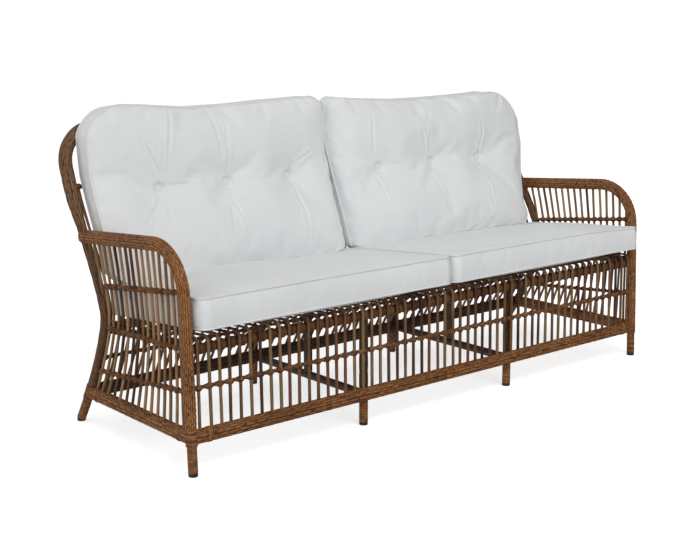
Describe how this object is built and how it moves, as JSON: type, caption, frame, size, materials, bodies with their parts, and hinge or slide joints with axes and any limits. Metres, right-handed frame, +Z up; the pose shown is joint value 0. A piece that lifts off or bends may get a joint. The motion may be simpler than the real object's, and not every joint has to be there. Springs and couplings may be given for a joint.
{
  "type": "garden sofa",
  "caption": "Woven rattan garden sofa: cane panels under bent arms and a looped back, on small foot glides, with loose seat cushions and tufted back cushions.",
  "frame": {"origin": "middle of the footprint, on the floor", "axes": "+X to the right as seen from the front, +Y to the back, +Z up"},
  "size_m": [1.839, 0.6794, 0.888],
  "materials": {
    "weave": "woven rattan, satin",
    "pole": "satin",
    "cane": "satin",
    "glide": "matte",
    "fabric": "woven cloth, matte",
    "button": "woven cloth, matte"
  },
  "bodies": {
    "frame": {"left_arm_frame": "weave", "left_rear_post": "weave", "right_arm_frame": "weave", "right_rear_post": "weave", "back_top_rail": "weave", "front_base_rail": "weave", "rear_base_rail": "weave", "left_base_rail": "weave", "right_base_rail": "weave", "front_seat_rail": "pole", "rear_seat_rail": "pole", "left_seat_rail": "pole", "right_seat_rail": "pole", "seat_centre_rail": "pole", "front_inner_leg_left": "weave", "rear_inner_leg_left": "weave", "base_stretcher_left": "pole", "centre_strut_left": "pole", "front_inner_leg_right": "weave", "rear_inner_leg_right": "weave", "base_stretcher_right": "pole", "centre_strut_right": "pole", "front_skirt_canes_left": "cane", "seat_deck_canes_left": "cane", "rear_skirt_canes_left": "cane", "back_canes_left": "cane", "front_skirt_canes_centre": "cane", "seat_deck_canes_centre": "cane", "rear_skirt_canes_centre": "cane", "back_canes_centre": "cane", "front_skirt_canes_right": "cane", "seat_deck_canes_right": "cane", "rear_skirt_canes_right": "cane", "back_canes_right": "cane", "left_side_canes": "cane", "right_side_canes": "cane", "front_left_outer_glide": "glide", "front_left_inner_glide": "glide", "front_right_outer_glide": "glide", "front_right_inner_glide": "glide", "rear_left_outer_glide": "glide", "rear_left_inner_glide": "glide", "rear_right_outer_glide": "glide", "rear_right_inner_glide": "glide"},
    "seat_cushion_left": {"seat_cushion_left": "fabric"},
    "back_cushion_left": {"back_cushion_left": "fabric", "back_button_left_inner": "button", "back_button_left_middle": "button", "back_button_left_outer": "button"},
    "seat_cushion_right": {"seat_cushion_right": "fabric"},
    "back_cushion_right": {"back_cushion_right": "fabric", "back_button_right_inner": "button", "back_button_right_middle": "button", "back_button_right_outer": "button"}
  },
  "joints": [
    {"name": "seat_cushion_left_lift", "type": "slide", "parent": "frame", "child": "seat_cushion_left", "axis": [0, 0, 1], "range_m": [0, 0.56]},
    {"name": "back_cushion_left_lift", "type": "slide", "parent": "seat_cushion_left", "child": "back_cushion_left", "axis": [0, 0, 1], "range_m": [0, 0.475]},
    {"name": "seat_cushion_right_lift", "type": "slide", "parent": "frame", "child": "seat_cushion_right", "axis": [0, 0, 1], "range_m": [0, 0.56]},
    {"name": "back_cushion_right_lift", "type": "slide", "parent": "seat_cushion_right", "child": "back_cushion_right", "axis": [0, 0, 1], "range_m": [0, 0.475]}
  ]
}
